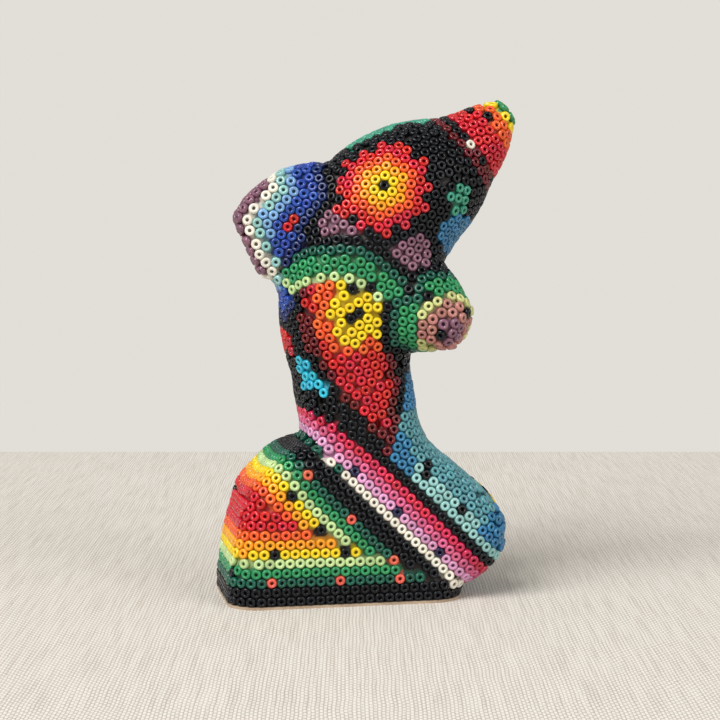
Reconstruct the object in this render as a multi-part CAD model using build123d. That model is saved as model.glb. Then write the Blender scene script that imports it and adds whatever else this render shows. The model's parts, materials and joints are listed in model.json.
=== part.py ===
from build123d import *

# Beaded folk-art figure: a dolphin-like animal rising from a wedge-shaped foot. A wooden carving in
# several glued pieces carries a thin coat of beeswax, and glass seed beads stand on the wax all over.
#
# Frame: +X to the animal's right-hand side of the view, +Y away from the viewer, +Z up, in millimetres.
# The origin is the centre of the foot's underside. The carving is symmetric about the plane Y = 0,
# except for the far fluke, which curls higher than the near one.

import os

import numpy as np
from scipy.interpolate import PchipInterpolator
from scipy.spatial import cKDTree

# ---------------------------------------------------------------- driving dimensions (mm, degrees)
BEAD_DIAMETER = 2.10            # size 11/0 glass seed bead
BEAD_LENGTH = 1.30
BEAD_HOLE = 0.80
BEAD_ROUNDING = 0.32            # the ends of the bead are rounded off by this much
BEAD_GAP = 0.04                 # least clear distance between two beads
ALONG_ROW = 2.16                # bead to bead along a row
ACROSS_ROWS = 2.08              # row to row

WAX_THICKNESS = 0.70
BEAD_SEAT = 0.25                # bead end to wax

FOOT_LENGTH = 48.2              # wooden foot, along X
FOOT_DEPTH = 26.6               # wooden foot, along Y
FOOT_HEIGHT = 33.2              # top of the wooden foot above the table
FOOT_CORNER = 7.0               # rounding of the foot's outline
FOOT_EDGE = 5.0                 # rounding of the foot's long edges

BOARD_THICKNESS = 0.6
BOARD_INSET = 0.2               # board edge inside the beads' outer faces

BODY_HEIGHT = 107.4             # beak tip's carving above the table
BODY_AXIS = -1.1                # the trunk's root, beside the foot's centre
BODY_REACH = 38.6               # beak tip's carving right of the trunk's root
TRUNK_GIRTH = 15.6              # largest half-width of the trunk
TRUNK_DEPTH = 14.0              # largest half-depth of the trunk
FIN_LENGTH = 10.5               # dorsal fin beyond the back
FIN_THICKNESS = 5.6
FIN_ROOT = 1.5                  # root of the dorsal fin left of the trunk's root
FLIPPER_LENGTH = 9.0
TAIL_DEPTH = 26.4               # across both flukes

BLEND = 5.0                     # width over which two limbs flow into each other
LOFT_SECTIONS = 20
CAP_EASE = 0.4                  # share of the wax that a limb's end face spreads by, to round its edge

SKIN = WAX_THICKNESS + BEAD_SEAT + BEAD_LENGTH / 2      # carving to the beads' middles
ROW_DIAGONAL = float(np.hypot(ACROSS_ROWS, ALONG_ROW / 2))
LOWEST_ROW = BOARD_THICKNESS + BEAD_GAP + BEAD_DIAMETER / 2

# the plane that parts the foot from the tail, leaning down to the right
BAND_POINT = np.array([BODY_AXIS + 5.2, 0.0, FOOT_HEIGHT - 8.1])
BAND_SLOPE = 44.4
BAND_NORMAL = np.array([np.sin(np.radians(BAND_SLOPE)), 0.0, np.cos(np.radians(BAND_SLOPE))])
BAND_ALONG = np.array([BAND_NORMAL[2], 0.0, -BAND_NORMAL[0]])


# ---------------------------------------------------------------- the carving
def frame_of(lean, splay):
    """Axes of a cross-section: along the limb, in its plane of bend, and across it."""
    lean = np.radians(lean)
    splay = np.radians(splay)
    along = np.stack([np.sin(lean) * np.cos(splay), -np.sin(splay), np.cos(lean) * np.cos(splay)], -1)
    tall = np.stack([np.cos(lean), np.zeros_like(lean), -np.sin(lean)], -1)
    return along, tall, np.cross(along, tall)


class Limb:
    """A carved limb: cross-sections strung on a bent centre line.

    Each station is (x, y, z, lean, splay, half-height, half-width): lean turns the section's
    direction from up towards +X, and splay turns it towards the viewer.
    """

    FINE = 48

    def __init__(self, name, stations, power=2.0):
        self.name = name
        self.power = power
        rows = np.array(stations, dtype=float)
        steps = np.linalg.norm(np.diff(rows[:, :3], axis=0), axis=1)
        knots = np.concatenate([[0.0], np.cumsum(steps)]) / steps.sum()
        self.curve = PchipInterpolator(knots, rows)
        self.fine = self.curve(np.linspace(0, 1, self.FINE))
        self.along, self.tall, self.across = frame_of(self.fine[:, 3], self.fine[:, 4])
        run = np.concatenate([[0.0], np.cumsum(np.linalg.norm(np.diff(self.fine[:, :3], axis=0), axis=1))])
        self.taper = np.hypot(1.0, np.gradient(self.fine[:, 5:7].mean(axis=1), run))
        girth = self.fine[:, 5:7].max(axis=1)[:, None] * self.power ** 0.2
        self.low = (self.fine[:, :3] - girth).min(axis=0)
        self.high = (self.fine[:, :3] + girth).max(axis=0)

    def distance(self, points):
        """How far each point lies outside the limb; a point that is far off gets a rough value."""
        outside = np.maximum(np.maximum(self.low - points, points - self.high), 0).max(axis=1)
        result = outside + BLEND
        close = outside < SKIN + BLEND
        if close.any():
            result[close] = self.near_distance(points[close])
        return result

    def near_distance(self, points):
        """Distance outside the limb, near enough to a true distance at its skin."""
        offset = points[:, None, :] - self.fine[None, :, :3]
        height = np.einsum("pfk,fk->pf", offset, self.along)
        nearest = np.argmin(np.abs(height) + 0.02 * np.linalg.norm(offset, axis=2), axis=1)
        low = np.clip(nearest - 1, 0, self.FINE - 2)
        high = np.clip(nearest + 1, 1, self.FINE - 1)
        index = np.arange(len(points))
        h_low = height[index, low]
        h_high = height[index, high]
        share = np.clip(h_low / np.where(np.abs(h_low - h_high) < 1e-9, 1e-9, h_low - h_high), 0, 1)
        mix = share[:, None]
        row = self.fine[low] * (1 - mix) + self.fine[high] * mix
        along, tall, across = frame_of(row[:, 3], row[:, 4])
        local = points - row[:, :3]
        beyond = np.einsum("pk,pk->p", local, along)
        u = np.abs(np.einsum("pk,pk->p", local, tall)) + 1e-9
        v = np.abs(np.einsum("pk,pk->p", local, across)) + 1e-9
        n = self.power
        ratio = ((u / row[:, 5]) ** n + (v / row[:, 6]) ** n) ** (1 / n)
        slope = np.hypot((u / row[:, 5]) ** (n - 1) / row[:, 5], (v / row[:, 6]) ** (n - 1) / row[:, 6])
        taper = self.taper[low] * (1 - share) + self.taper[high] * share
        side = (ratio - 1) / (slope * ratio ** (1 - n) * taper)
        at_start = (low == 0) & (share <= 0)
        at_end = (high == self.FINE - 1) & (share >= 1)
        end = np.where(at_end, beyond, np.where(at_start, -beyond, -10.0))
        return np.hypot(np.maximum(side, 0), np.maximum(end, 0)) + np.minimum(np.maximum(side, end), 0)

    def section(self, share, grow, shift=0.0):
        """A closed face across the limb, grown evenly, and moved along the limb by shift."""
        x, y, z, lean, splay, half_tall, half_wide = self.curve(share)
        along, tall, across = frame_of(np.array(lean), np.array(splay))
        centre = np.array([x, y, z]) + along * shift
        points = []
        for angle in np.linspace(0, 2 * np.pi, 16, endpoint=False):
            c, s = np.cos(angle), np.sin(angle)
            radius = (abs(c) ** self.power + abs(s) ** self.power) ** (-1 / self.power)
            corner = centre + radius * (tall * (half_tall + grow) * c + across * (half_wide + grow) * s)
            points.append(tuple(corner))
        return Face(Wire(Edge.make_spline([Vector(*p) for p in points], periodic=True)))

    def solid(self, grow=0.0):
        """The limb as a solid, its sides and ends moved out by grow, with sections closest at its ends."""
        wires = []
        for turn in np.linspace(0, np.pi, LOFT_SECTIONS):
            share = (1 - np.cos(turn)) / 2
            shift = -grow if turn == 0 else grow if turn == np.pi else 0.0
            spread = grow * CAP_EASE if shift else grow
            wires.append(self.section(share, spread, shift).outer_wire())
        return Solid.make_loft(wires)


class Foot:
    """The wedge-shaped foot: a rounded outline, drawn out towards and away from the viewer."""

    name = "foot"

    def __init__(self):
        left = -FOOT_LENGTH / 2 + FOOT_CORNER
        right = FOOT_LENGTH / 2 - FOOT_CORNER
        top = FOOT_HEIGHT - FOOT_CORNER
        slant = BAND_POINT - BAND_NORMAL * FOOT_CORNER
        fall = BAND_NORMAL[0] / BAND_NORMAL[2]
        crest_x = slant[0] - (top - slant[2]) / fall
        end_z = slant[2] - (right - slant[0]) * fall
        self.knots = np.array([
            (left, -12.0),
            (left, 4.0),
            (left + 1.3, top * 0.48),
            (left + 3.6, top * 0.80),
            (left + 8.0, top * 0.97),
            (crest_x, top),
            (right, max(end_z, 1.0)),
            (right, -12.0),
        ])

    def distance(self, points):
        """Distance outside the rounded prism."""
        flat = points[:, [0, 2]]
        start = self.knots
        edge = np.roll(start, -1, axis=0) - start
        offset = flat[:, None, :] - start[None, :, :]
        share = np.clip(np.einsum("pek,ek->pe", offset, edge) / np.einsum("ek,ek->e", edge, edge), 0, 1)
        gap = np.linalg.norm(offset - share[..., None] * edge[None], axis=2).min(axis=1)
        cross = edge[None, :, 0] * offset[..., 1] - edge[None, :, 1] * offset[..., 0]
        rising = (offset[..., 1] >= 0) & (offset[..., 1] - edge[None, :, 1] < 0) & (cross > 0)
        falling = (offset[..., 1] < 0) & (offset[..., 1] - edge[None, :, 1] >= 0) & (cross < 0)
        inside = (rising.sum(axis=1) - falling.sum(axis=1)) != 0
        outline = np.where(inside, -gap, gap) - FOOT_CORNER
        q = np.stack([outline + FOOT_EDGE, np.abs(points[:, 1]) - FOOT_DEPTH / 2 + FOOT_EDGE], -1)
        return np.linalg.norm(np.maximum(q, 0), axis=1) + np.minimum(q.max(axis=1), 0) - FOOT_EDGE

    def solid(self, grow=0.0):
        """The foot as a solid standing on its board, its sides moved out by grow."""
        knots = [(x, z) for x, z in self.knots]
        inner = Plane.XZ * make_face(Polyline(*knots, close=True))
        outline = offset(inner, amount=FOOT_CORNER + grow, kind=Kind.ARC)
        block = extrude(outline, amount=FOOT_DEPTH / 2 + grow, both=True)
        long_edges = block.edges().filter_by(Axis.Y, reverse=True)
        block = fillet(long_edges, FOOT_EDGE + grow - 0.02)
        below = Pos(0, 0, -50 + BOARD_THICKNESS) * Box(200, 200, 100)
        return block - below


def body_stations():
    """The trunk, head and beak, from inside the foot to the tip of the beak."""
    h, r, g, d = BODY_HEIGHT, BODY_REACH, TRUNK_GIRTH, TRUNK_DEPTH
    rows = [
        (0.18, 0.330, -8, 0.60, 0.74),
        (0.13, 0.418, -6, 0.65, 0.76),
        (0.09, 0.553, -1, 0.82, 0.90),
        (0.12, 0.648, 3, 0.91, 0.97),
        (0.235, 0.738, 9, 0.98, 1.00),
        (0.37, 0.826, 26, 0.96, 0.98),
        (0.51, 0.868, 38, 0.84, 0.90),
        (0.65, 0.900, 45, 0.67, 0.73),
        (0.77, 0.923, 49, 0.46, 0.50),
        (0.885, 0.953, 51, 0.34, 0.36),
        (0.965, 0.982, 53, 0.19, 0.21),
        (1.0, 0.995, 53, 0.09, 0.09),
    ]
    return [(BODY_AXIS + r * x, 0, h * z, lean, 0, g * tall, d * wide) for x, z, lean, tall, wide in rows]


def tail_stations():
    """The tail, from the waist down the slope to the root of the flukes."""
    half = TAIL_DEPTH / 2
    waist = BAND_POINT[2] + 0.1946 * BODY_HEIGHT
    bend = BAND_POINT[2] + 0.1294 * BODY_HEIGHT
    rows = [(BODY_AXIS + 4.9, 0, waist, 178, 0, 9.2, 9.6),
            (BODY_AXIS + 6.4, 0, bend, 156, 0, 9.6, 0.82 * half)]
    for along, height, tall, wide in ((2.0, 7.4, 8.8, 0.95), (12.0, 7.4, 8.8, 1.0), (20.0, 7.4, 8.6, 1.0),
                                      (24.5, 7.4, 7.8, 0.94), (27.0, 7.2, 5.6, 0.74)):
        place = BAND_POINT + BAND_ALONG * along + BAND_NORMAL * height
        rows.append((place[0], 0, place[2], 90 + BAND_SLOPE, 0, tall, wide * half))
    return rows


def fin_stations():
    """The dorsal fin, out of the back to the left."""
    half = FIN_THICKNESS / 2
    rows = [(0.0, 0.7858, -106, 10.4, 1.6), (0.45, 0.7747, -109, 10.8, 1.0),
            (0.9, 0.7579, -112, 9.8, 0.6), (1.25, 0.7449, -114, 8.2, 0.2), (1.5, 0.7356, -115, 6.0, -0.4)]
    return [(BODY_AXIS - FIN_ROOT - share * FIN_LENGTH, 0, z * BODY_HEIGHT, lean, 0, tall, half + more)
            for share, z, lean, tall, more in rows]


def flipper_stations(side):
    """A flipper, splayed out of the chest; side is 1 for the near one and -1 for the far one."""
    rows = []
    for share, tall, wide in ((-0.6, 7.4, 5.8), (0.0, 8.2, 6.5), (0.4, 8.0, 6.4), (0.8, 6.6, 5.4),
                              (1.1, 4.6, 4.0), (1.28, 2.6, 2.4), (1.36, 1.0, 0.9)):
        step = share * FLIPPER_LENGTH
        outward = 0.6857 * TRUNK_DEPTH + 0.52 * step
        rows.append((BODY_AXIS + TRUNK_GIRTH + 0.74 * step, -side * outward,
                     0.622 * BODY_HEIGHT - 0.44 * step, 116, side * 34, tall, wide))
    return rows


def fluke_stations(side):
    """One tail fluke; the far one curls up higher than the near one."""
    rows = ((13.0, 8.0, 7.0, 5.6, 5.0), (20.0, 8.4, 8.4, 6.6, 5.4), (26.5, 8.2, 8.8, 6.4, 4.8),
            (30.6, 7.8, 8.6, 3.6, 3.0))
    if side < 0:
        rows = ((15.0, 8.6, 7.0, 5.6, 5.0), (23.0, 11.2, 8.4, 6.0, 5.0), (29.6, 12.0, 9.0, 5.2, 4.4),
                (33.6, 11.8, 9.0, 3.0, 2.6))
    stations = []
    for along, height, outward, tall, wide in rows:
        place = BAND_POINT + BAND_ALONG * along + BAND_NORMAL * height
        stations.append((place[0], -side * outward, place[2], 90 + BAND_SLOPE, 0, tall, wide))
    return stations


class Carving:
    """All the wooden limbs as one smooth field of distance."""

    def __init__(self):
        self.foot = Foot()
        self.body = Limb("body", body_stations())
        self.tail = Limb("tail", tail_stations(), power=3.0)
        self.fin = Limb("dorsal_fin", fin_stations(), power=2.4)
        self.near_flipper = Limb("near_flipper", flipper_stations(1))
        self.far_flipper = Limb("far_flipper", flipper_stations(-1))
        self.near_fluke = Limb("near_fluke", fluke_stations(1))
        self.far_fluke = Limb("far_fluke", fluke_stations(-1))
        self.limbs = [self.foot, self.tail, self.body, self.fin, self.near_flipper, self.far_flipper,
                      self.near_fluke, self.far_fluke]

    def distance(self, points):
        """Distance outside the whole carving, with the limbs blended together."""
        total = None
        for limb in self.limbs:
            part = limb.distance(points)
            if total is None:
                total = part
                continue
            overlap = np.maximum(BLEND - np.abs(total - part), 0) / BLEND
            total = np.minimum(total, part) - overlap ** 2 * BLEND / 4
        return total


# ---------------------------------------------------------------- the bead layout
class BeadSkin:
    """Lays beads row beside row over the wax, as the maker does, starting from the motifs."""

    PROBE = 0.05                # how far about a point its slope is felt
    STEP = 0.4                  # one step along a line that is being walked
    OUTSIDE = 32.0              # beyond the figure, towards or away from the viewer
    LOOKS = 161                 # steps of a straight look inwards
    PUSH = 0.62                 # share of an overlap that one easing takes out
    SPREAD = 1.06               # neighbours nearer than this many spans also drift apart
    DRIFT = 0.05

    def __init__(self, carving):
        self.carving = carving
        self.places = np.zeros((0, 3))
        self.motifs = []
        self.rows = []

    def slope(self, points):
        """Height above the bead skin, and its gradient."""
        corners = np.array([(1, -1, -1), (-1, -1, 1), (-1, 1, -1), (1, 1, 1)], dtype=float)
        probes = (points[None] + self.PROBE * corners[:, None]).reshape(-1, 3)
        values = self.carving.distance(probes).reshape(4, len(points))
        return values.mean(axis=0) - SKIN, values.T @ corners / (4 * self.PROBE)

    def settle(self, points, rounds=3):
        """Moves points on to the bead skin, and returns them with their outward directions."""
        points = np.array(points, dtype=float)
        for _ in range(rounds):
            height, gradient = self.slope(points)
            points -= gradient * (height / np.maximum((gradient ** 2).sum(axis=1), 1e-6))[:, None]
        _, gradient = self.slope(points)
        return points, gradient / np.linalg.norm(gradient, axis=1)[:, None]

    def cast(self, x, z, side=1):
        """The point of the skin that a straight look from the near or far side meets."""
        depths = -side * np.linspace(self.OUTSIDE, 0, self.LOOKS)
        line = np.stack([np.full(self.LOOKS, x), depths, np.full(self.LOOKS, z)], -1)
        height = self.carving.distance(line) - SKIN
        first = int(np.argmax(height < 0)) if (height < 0).any() else self.LOOKS - 1
        return self.settle(line[first:first + 1])[0][0]

    def add(self, points, motif, row):
        """Adds beads, and returns their numbers."""
        points = np.atleast_2d(points)
        first = len(self.places)
        self.places = np.concatenate([self.places, points])
        self.motifs += [motif] * len(points)
        self.rows += [row] * len(points)
        return list(range(first, first + len(points)))

    def accept(self, candidates, motif, row, room):
        """Adds the candidates that have room, in the order given."""
        if not len(candidates):
            return []
        tree = cKDTree(self.places)
        free = tree.query(candidates)[0] >= room
        chosen = []
        for point in candidates[free]:
            if all(np.linalg.norm(point - other) >= room for other in chosen):
                chosen.append(point)
        return self.add(np.array(chosen), motif, row) if chosen else []

    def meeting(self, first, second, first_reach, second_reach):
        """Points at given distances from two beads, on both sides of the line between them."""
        middle, outward = self.settle((first + second) / 2, rounds=2)
        line = second - first
        length = np.linalg.norm(line, axis=1)
        line = line / length[:, None]
        shift = (first_reach ** 2 - second_reach ** 2 + length ** 2) / (2 * length)
        rise = np.sqrt(np.maximum(first_reach ** 2 - shift ** 2, 0.01))
        sideways = np.cross(outward, line)
        found = []
        for sign in (1, -1):
            points = first + line * shift[:, None] + sideways * (sign * rise)[:, None]
            for _ in range(3):
                points = self.settle(points, rounds=1)[0]
                for anchor, reach in ((first, first_reach), (second, second_reach)):
                    arm = points - anchor
                    span = np.linalg.norm(arm, axis=1)
                    points = points + arm * (0.6 * (reach - span) / span)[:, None]
            found.append(self.settle(points, rounds=2)[0])
        return np.concatenate(found)

    def grow(self, motif, row, inner, allowed, across=ROW_DIAGONAL, along=ALONG_ROW, room=0.955):
        """Lays one row beside the beads named by inner, and returns the new row."""
        if len(inner) < 2:
            return []
        inner = np.array(inner)
        base = self.places[inner]
        pairs = np.array(list(cKDTree(base).query_pairs(1.6 * along)))
        if not len(pairs):
            return []
        spans = np.linalg.norm(base[pairs[:, 0]] - base[pairs[:, 1]], axis=1)
        pairs = pairs[np.argsort(np.abs(spans - along), kind="stable")]
        points = self.meeting(base[pairs[:, 0]], base[pairs[:, 1]], np.full(len(pairs), across),
                              np.full(len(pairs), across))
        new = self.accept(points[allowed(points)], motif, row, room * along)
        fresh = new
        for _ in range(6):
            if not fresh:
                break
            heads = self.places[np.array(fresh)]
            near = cKDTree(base).query_ball_point(heads, across * 1.2)
            links = [(h, b) for h, found in enumerate(near) for b in found]
            if not links:
                break
            links = np.array(links)
            points = self.meeting(heads[links[:, 0]], base[links[:, 1]], np.full(len(links), along),
                                  np.full(len(links), across))
            fresh = self.accept(points[allowed(points)], motif, row, room * along)
            new = new + fresh
        return new

    def trace(self, start, plane_normal=None, eye=None):
        """Beads round the closed line in which a plane, or else a ball about eye, cuts the skin."""
        point = self.settle(start[None])[0][0]
        anchor = point.copy()
        reach = 0.0 if eye is None else np.linalg.norm(anchor - eye)
        track = [point]
        for _ in range(4000):
            outward = self.settle(point[None], rounds=0)[1]
            course = np.cross(outward[0], point - eye if plane_normal is None else plane_normal)
            point = point + course / np.linalg.norm(course) * self.STEP
            for _ in range(2):
                point = self.settle(point[None], rounds=1)[0][0]
                if plane_normal is None:
                    point = eye + (point - eye) * (reach / np.linalg.norm(point - eye))
                else:
                    point = point - plane_normal * ((point - anchor) @ plane_normal)
            track.append(point)
            if len(track) > 20 and np.linalg.norm(point - anchor) < self.STEP:
                break
        track = np.array(track)
        run = np.concatenate([[0], np.cumsum(np.linalg.norm(np.diff(track, axis=0), axis=1))])
        count = int(run[-1] / ALONG_ROW)
        spots = np.linspace(0, run[-1], count, endpoint=False)
        return self.settle(np.stack([np.interp(spots, run, track[:, k]) for k in range(3)], -1))[0]

    def string(self, knots, side, pitch=ALONG_ROW):
        """Beads along an open line drawn on the near or far side, given as points (x, z)."""
        knots = np.array(knots)
        run = np.concatenate([[0], np.cumsum(np.linalg.norm(np.diff(knots, axis=0), axis=1))])
        fine = np.linspace(0, run[-1], 60)
        track = np.array([self.cast(np.interp(s, run, knots[:, 0]), np.interp(s, run, knots[:, 1]), side)
                          for s in fine])
        length = np.concatenate([[0], np.cumsum(np.linalg.norm(np.diff(track, axis=0), axis=1))])
        spots = np.arange(0, length[-1], pitch)
        return self.settle(np.stack([np.interp(spots, length, track[:, k]) for k in range(3)], -1))[0]

    def relax(self, rounds):
        """Pushes beads apart until none is too near another, and evens out the packing."""
        for turn in range(rounds):
            if turn % 3 == 0:
                self.places, axes = self.settle(self.places, rounds=1)
            pairs = cKDTree(self.places).query_pairs(1.3 * ALONG_ROW, output_type="ndarray")
            first, second = pairs[:, 0], pairs[:, 1]
            arm = self.places[second] - self.places[first]
            span = np.linalg.norm(arm, axis=1)
            need = self.least_span(axes[first], axes[second])
            push = np.maximum(need + BEAD_GAP / 2 - span, 0) * self.PUSH
            push += np.clip(self.SPREAD * need - span, 0, 2 * BEAD_GAP) * self.DRIFT
            move = arm / span[:, None] * push[:, None]
            shift = np.zeros_like(self.places)
            np.add.at(shift, first, -move)
            np.add.at(shift, second, move)
            shift -= axes * (shift * axes).sum(axis=1)[:, None]
            self.places += shift
            self.places[:, 2] = np.maximum(self.places[:, 2], LOWEST_ROW)
        self.places = self.settle(self.places, rounds=2)[0]

    @staticmethod
    def least_span(first_axes, second_axes):
        """How far apart two beads must be: more where the skin bends sharply between them."""
        bend = np.sqrt(np.maximum(0, (1 - (first_axes * second_axes).sum(axis=1)) / 2))
        return BEAD_DIAMETER + BEAD_GAP + (BEAD_LENGTH - 2 * BEAD_ROUNDING) * bend

    def drop_crowded(self):
        """Takes out the beads that still press into a neighbour."""
        while True:
            axes = self.settle(self.places, rounds=0)[1]
            pairs = cKDTree(self.places).query_pairs(1.3 * ALONG_ROW, output_type="ndarray")
            span = np.linalg.norm(self.places[pairs[:, 1]] - self.places[pairs[:, 0]], axis=1)
            short = self.least_span(axes[pairs[:, 0]], axes[pairs[:, 1]]) - BEAD_GAP - span
            tight = pairs[short > -0.005]
            if not len(tight):
                return
            numbers, counts = np.unique(tight, return_counts=True)
            worst = numbers[np.argmax(counts)]
            keep = np.arange(len(self.places)) != worst
            self.places = self.places[keep]
            self.motifs = [m for m, k in zip(self.motifs, keep) if k]
            self.rows = [r for r, k in zip(self.rows, keep) if k]


# ---------------------------------------------------------------- the motifs
# places on the near and far sides, as (x, z)
FLOWER = (BODY_AXIS + 0.2306 * BODY_REACH, 0.853 * BODY_HEIGHT)
FLIPPER_EYE = (BODY_AXIS + TRUNK_GIRTH + 0.82 * FLIPPER_LENGTH, 0.622 * BODY_HEIGHT - 0.72 * FLIPPER_LENGTH)
ARC = (BODY_AXIS - 1.0, 0.5736 * BODY_HEIGHT)   # middle of the green arc
ARC_RADIUS = 16.4
RING_MOTIFS = ("flower", "flipper", "beak")

SEQUENCES = {
    "foot": ["black", "black", "dark_green", "green", "pale_green", "yellow", "amber", "orange", "red"],
    "slope": ["black", "black", "black", "dark_green", "green", "pale_green", "yellow", "amber", "orange",
              "red"],
    "band": ["white", "lilac", "pink", "crimson", "black"],
    "flower": ["black", "yellow", "amber", "orange", "red", "red"],
    "flipper": ["mauve", "mauve", "peach", "peach", "pale_yellow", "green", "green", "dark_green", "black"],
    "beak": ["green", "green", "yellow", "orange", "orange", "red", "red", "red", "dark_red", "dark_red"],
    "fin": ["mauve", "mauve", "white", "aqua", "sky", "blue", "blue", "dark_blue", "black"],
    "chest": ["dark_green", "green", "green", "pale_green"],
}
ZONES = {"slope": "foot", "fin": "dorsal_fin", "flipper": "flipper", "field": "head"}
SHARED = {"black": "ground_black", "white": "row_white"}


def everywhere(points):
    """Room for beads: anywhere on the skin down to the lowest row."""
    return points[:, 2] >= LOWEST_ROW - 0.05


def above_band(points):
    """Room above the plane of the band."""
    return ((points - BAND_POINT) @ BAND_NORMAL > 0) & everywhere(points)


def below_band(points):
    """Room below the plane of the band."""
    return ((points - BAND_POINT) @ BAND_NORMAL < 0) & everywhere(points)


def on_tail(points):
    """Room on the blue upper side of the tail."""
    reach = points[:, 0] - BODY_AXIS
    return above_band(points) & (reach > 11.6 + 0.25 * (points[:, 2] - 35)) & (points[:, 2] < 53)


def on_fin(points):
    """Room on the dorsal fin."""
    return points[:, 0] < BODY_AXIS - 1.0 + 0.3 * (points[:, 2] - 84)


def under_arc(points):
    """Room inside the green arc."""
    return np.hypot(points[:, 0] - ARC[0], points[:, 2] - ARC[1]) < ARC_RADIUS


class Maker:
    """Lays the whole bead skin, motif by motif, and says each bead's colour."""

    def __init__(self, carving):
        self.skin = BeadSkin(carving)
        self.plans = []

    def plan(self, motif, rows, room, front, row=0):
        """Notes that a motif goes on for some more rows from the beads in front."""
        self.plans.append({"motif": motif, "last": rows, "room": room, "front": front, "row": row})

    def start_ring(self, centre, motif, rows):
        """One bead with six round it, for a motif of rings."""
        skin = self.skin
        place, outward = skin.settle(np.array([centre], dtype=float))
        skin.add(place, motif, 0)
        side = np.cross(outward[0], [0.0, 1.0, 0.3])
        side /= np.linalg.norm(side)
        other = np.cross(outward[0], side)
        angles = np.linspace(0, 2 * np.pi, 6, endpoint=False)
        ring = [place[0] + 1.02 * ALONG_ROW * (np.cos(a) * side + np.sin(a) * other) for a in angles]
        self.plan(motif, rows, everywhere, skin.add(skin.settle(np.array(ring))[0], motif, 1), 1)

    def ring_rows(self, limb, motif, rows, longest):
        """Rings of beads round the end of a limb, square to it, and the rows that follow them."""
        skin = self.skin
        axis, tall, _ = frame_of(*[np.array(limb.fine[-1, k]) for k in (3, 4)])
        point = skin.settle(limb.fine[-1:, :3] + axis * SKIN)[0][0]
        skin.add(point, motif, 0)
        front, row = [], 0
        while row < rows:
            walked, stretch = 0.0, ACROSS_ROWS if row else ALONG_ROW
            while walked < stretch:
                outward = skin.settle(point[None], rounds=0)[1][0]
                course = tall - axis
                course -= outward * (course @ outward)
                moved = skin.settle((point + 0.2 * course / np.linalg.norm(course))[None], rounds=1)[0][0]
                walked += np.linalg.norm(moved - point)
                point = moved
            ring = skin.trace(point, axis)
            if len(ring) * ALONG_ROW > longest:
                break
            row += 1
            ring = ring[cKDTree(skin.places).query(ring)[0] > 0.93 * ALONG_ROW]
            front = skin.add(ring, motif, row)
        return front, row

    def eye_rows(self, eye, motif, rows):
        """Rings of beads about a spot of the skin, each walked to over the top of the last."""
        skin = self.skin
        skin.add(eye, motif, 0)
        point, course = eye, np.array([0.0, 0.0, 1.0])
        for row in range(1, rows + 1):
            walked, stretch = 0.0, ACROSS_ROWS if row > 1 else ALONG_ROW
            while walked < stretch:
                outward = skin.settle(point[None], rounds=0)[1][0]
                course = course - outward * (course @ outward)
                moved = skin.settle((point + 0.2 * course / np.linalg.norm(course))[None], rounds=1)[0][0]
                walked += np.linalg.norm(moved - point)
                course, point = moved - point, moved
            ring = skin.trace(point, eye=eye)
            ring = ring[cKDTree(skin.places).query(ring)[0] > 0.93 * ALONG_ROW]
            front = skin.add(ring, motif, row)
        return front, rows

    def start_row(self, points, motif, rows, room):
        """A first row of beads, where there is room for it."""
        skin = self.skin
        if len(skin.places):
            points = points[cKDTree(skin.places).query(points)[0] > 0.95 * ALONG_ROW]
        front = skin.add(points[everywhere(points)], motif, 0)
        self.plan(motif, rows, room, front)
        return front

    def lay(self):
        """Lays every bead."""
        skin, carving = self.skin, self.skin.carving
        for side in (1, -1):
            self.start_ring(skin.cast(*FLOWER, side), "flower", 5)
            front, row = self.eye_rows(skin.cast(*FLIPPER_EYE, side), "flipper", 5)
            self.plan("flipper", 8, everywhere, front, row)
        front, row = self.ring_rows(carving.body, "beak", 8, 60.0)
        self.plan("beak", 9, everywhere, front, row)
        ground = skin.trace(np.array([0.0, -20.0, LOWEST_ROW]), np.array([0.0, 0.0, 1.0]))
        self.start_row(ground, "foot", 12, below_band)
        band = skin.trace(BAND_POINT - np.array([0.0, 20.0, 0.0]), BAND_NORMAL)
        front = self.start_row(band, "band", 4, above_band)
        self.plan("slope", 12, below_band, front)
        self.start_row(self.fin_end(), "fin", 8, on_fin)
        for side in (1, -1):
            angles = np.radians(np.linspace(118, 34, 12))
            knots = [(ARC[0] + ARC_RADIUS * np.cos(a), ARC[1] + ARC_RADIUS * np.sin(a)) for a in angles]
            self.start_row(skin.string(knots, side), "chest", 3, under_arc)
        self.grow_motifs()
        self.fill()

    def fin_end(self):
        """The row of beads round the end of the dorsal fin."""
        end = FIN_ROOT + 1.5 * FIN_LENGTH
        knots = np.array([(0.65 - end, 0.8436 * BODY_HEIGHT), (-2.75 - end, 0.8007 * BODY_HEIGHT),
                          (-4.55 - end, 0.7449 * BODY_HEIGHT), (-2.95 - end, 0.7039 * BODY_HEIGHT),
                          (0.65 - end, 0.6797 * BODY_HEIGHT)])
        run = np.concatenate([[0], np.cumsum(np.linalg.norm(np.diff(knots, axis=0), axis=1))])
        spots = np.arange(0, run[-1], ALONG_ROW)
        line = [(BODY_AXIS + np.interp(s, run, knots[:, 0]), 0.0, np.interp(s, run, knots[:, 1]))
                for s in spots]
        return self.skin.settle(np.array(line))[0]

    def grow_motifs(self):
        """Grows every motif by a row in turn, so that neighbours meet half way."""
        while any(plan["front"] and plan["row"] < plan["last"] for plan in self.plans):
            for plan in list(self.plans):
                if not plan["front"] or plan["row"] >= plan["last"]:
                    continue
                across = 1.03 * ALONG_ROW if plan["motif"] in RING_MOTIFS else ROW_DIAGONAL
                plan["row"] += 1
                plan["front"] = self.skin.grow(plan["motif"], plan["row"], plan["front"], plan["room"],
                                               across)
                if plan["motif"] == "band" and plan["row"] == plan["last"]:
                    self.plan("tail", 16, on_tail, plan["front"], 4)

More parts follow.
